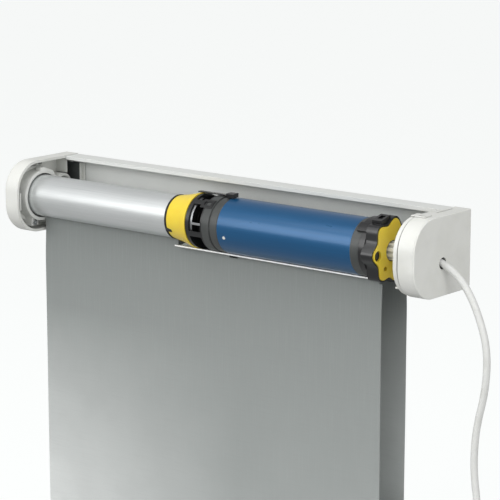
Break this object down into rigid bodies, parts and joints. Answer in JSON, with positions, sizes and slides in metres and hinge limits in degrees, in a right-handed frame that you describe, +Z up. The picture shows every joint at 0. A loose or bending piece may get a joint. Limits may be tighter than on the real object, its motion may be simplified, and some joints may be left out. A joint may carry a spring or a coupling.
{
  "type": "motorised roller shade head",
  "caption": "Cut-away roller shade head: tubular motor in an open cassette with end caps, stepped roller, looped two-layer shade with hem tube, and a white power lead.",
  "frame": {"origin": "middle of the two wall screw holes, on the wall face of the head rail, at the height of the roller axis", "axes": "+X along the roller towards the motor's lead end, +Y into the wall, +Z up"},
  "size_m": [0.5032, 0.0805, 0.396],
  "materials": {
    "cap_white": "white moulded plastic, satin gloss",
    "cap_inner_white": "white moulded plastic",
    "rail_white": "pale powder coat",
    "aluminium": "satin drawn aluminium",
    "yellow_plastic": "yellow moulded nylon",
    "black_plastic": "black glass-filled nylon",
    "dark_grey_plastic": "dark grey nylon",
    "motor_blue": "satin blue lacquer",
    "steel": "turned steel",
    "zinc_steel": "bright zinc",
    "bronze": "sintered bronze",
    "core_steel": "laminated steel",
    "board": "solder mask",
    "capacitor_case": "sleeved can",
    "wire": "PVC insulation",
    "shade_fabric": "woven blackout cloth",
    "hem_white": "powder coat",
    "lead_white": "white PVC sheath",
    "black_rubber": "moulded rubber"
  },
  "bodies": {
    "cassette": {"head_rail": "rail_white", "rear_sheet_strip": "aluminium", "left_end_cap": "cap_white", "left_bearing_bracket": "cap_inner_white", "bracket_screws": "zinc_steel", "idler_pin": "steel", "right_end_cap": "cap_white", "right_cap_cover": "cap_white", "right_cap_flange": "cap_white", "right_cap_clip": "cap_white", "cap_screws": "zinc_steel", "rail_end_plug": "dark_grey_plastic", "cage_spring": "steel", "motor_tube": "motor_blue", "gearbox_cage": "black_plastic", "shaft_bush": "black_plastic", "cage_collar": "dark_grey_plastic", "latch_clip": "black_plastic", "motor_head": "dark_grey_plastic", "head_star_pin": "cap_inner_white", "tube_rivets": "cap_white", "ring_gear": "dark_grey_plastic", "stator_can": "steel", "stator_core": "core_steel", "rear_bearing_plate": "steel", "front_bush": "bronze", "brake_magnet": "core_steel", "brake_housing": "dark_grey_plastic", "circuit_board": "board", "capacitor": "capacitor_case", "inner_wires": "wire", "front_sheet": "shade_fabric", "rear_sheet": "shade_fabric", "lead_grommet": "black_rubber", "lead": "lead_white", "lead_coil": "lead_white", "coil_tie": "black_plastic", "lead_end": "wire"},
    "roller": {"roller_tube": "aluminium", "motor_sleeve": "aluminium", "drive_wheel": "yellow_plastic", "tube_end_ring": "black_rubber", "torque_arm": "black_plastic", "wheel_clip": "steel", "crown_sleeve": "black_plastic", "crown_star": "yellow_plastic", "output_carrier": "steel", "idler_insert": "cap_inner_white", "idler_bearing": "steel"},
    "hem": {"hem_tube": "hem_white", "hem_fabric_loop": "shade_fabric", "hem_end_plugs": "hem_white"},
    "stage_one": {"stage_one_carrier": "steel"},
    "rotor": {"rotor": "core_steel"},
    "planet_two_1": {"planet_two_1": "steel"},
    "planet_two_2": {"planet_two_2": "steel"},
    "planet_two_3": {"planet_two_3": "steel"},
    "planet_one_1": {"planet_one_1": "steel"},
    "planet_one_2": {"planet_one_2": "steel"},
    "planet_one_3": {"planet_one_3": "steel"}
  },
  "joints": [
    {"name": "roller_spin", "type": "hinge", "parent": "cassette", "child": "roller", "pos_m": [0, -0.0475, 0], "axis": [1, 0, 0], "range_deg": [0, 1260]},
    {"name": "hem_lift", "type": "slide", "parent": "cassette", "child": "hem", "axis": [0, 0, 1], "range_m": [0, 0.2895], "deforming": ["front_sheet", "rear_sheet"]},
    {"name": "stage_one_spin", "type": "hinge", "parent": "cassette", "child": "stage_one", "pos_m": [0, -0.0475, 0], "axis": [1, 0, 0], "range_deg": [0, 5041]},
    {"name": "rotor_spin", "type": "hinge", "parent": "cassette", "child": "rotor", "pos_m": [0, -0.0475, 0], "axis": [1, 0, 0], "range_deg": [0, 20161]},
    {"name": "planet_two_1_spin", "type": "hinge", "parent": "roller", "child": "planet_two_1", "pos_m": [0, -0.0355, 0], "axis": [1, 0, 0], "range_deg": [-3781, 0]},
    {"name": "planet_two_2_spin", "type": "hinge", "parent": "roller", "child": "planet_two_2", "pos_m": [0, -0.0535, 0.01039], "axis": [1, 0, 0], "range_deg": [-3781, 0]},
    {"name": "planet_two_3_spin", "type": "hinge", "parent": "roller", "child": "planet_two_3", "pos_m": [0, -0.0535, -0.01039], "axis": [1, 0, 0], "range_deg": [-3781, 0]},
    {"name": "planet_one_1_spin", "type": "hinge", "parent": "stage_one", "child": "planet_one_1", "pos_m": [0, -0.0355, 0], "axis": [1, 0, 0], "range_deg": [-15121, 0]},
    {"name": "planet_one_2_spin", "type": "hinge", "parent": "stage_one", "child": "planet_one_2", "pos_m": [0, -0.0535, 0.01039], "axis": [1, 0, 0], "range_deg": [-15121, 0]},
    {"name": "planet_one_3_spin", "type": "hinge", "parent": "stage_one", "child": "planet_one_3", "pos_m": [0, -0.0535, -0.01039], "axis": [1, 0, 0], "range_deg": [-15121, 0]}
  ],
  "couplings": [
    {"joint": "hem_lift", "follows": "roller_spin", "m_per_rad": 0.01315},
    {"joint": "stage_one_spin", "follows": "roller_spin", "ratio": 4},
    {"joint": "rotor_spin", "follows": "roller_spin", "ratio": 16},
    {"joint": "planet_two_1_spin", "follows": "roller_spin", "ratio": -3},
    {"joint": "planet_two_2_spin", "follows": "roller_spin", "ratio": -3},
    {"joint": "planet_two_3_spin", "follows": "roller_spin", "ratio": -3},
    {"joint": "planet_one_1_spin", "follows": "roller_spin", "ratio": -12},
    {"joint": "planet_one_2_spin", "follows": "roller_spin", "ratio": -12},
    {"joint": "planet_one_3_spin", "follows": "roller_spin", "ratio": -12}
  ]
}
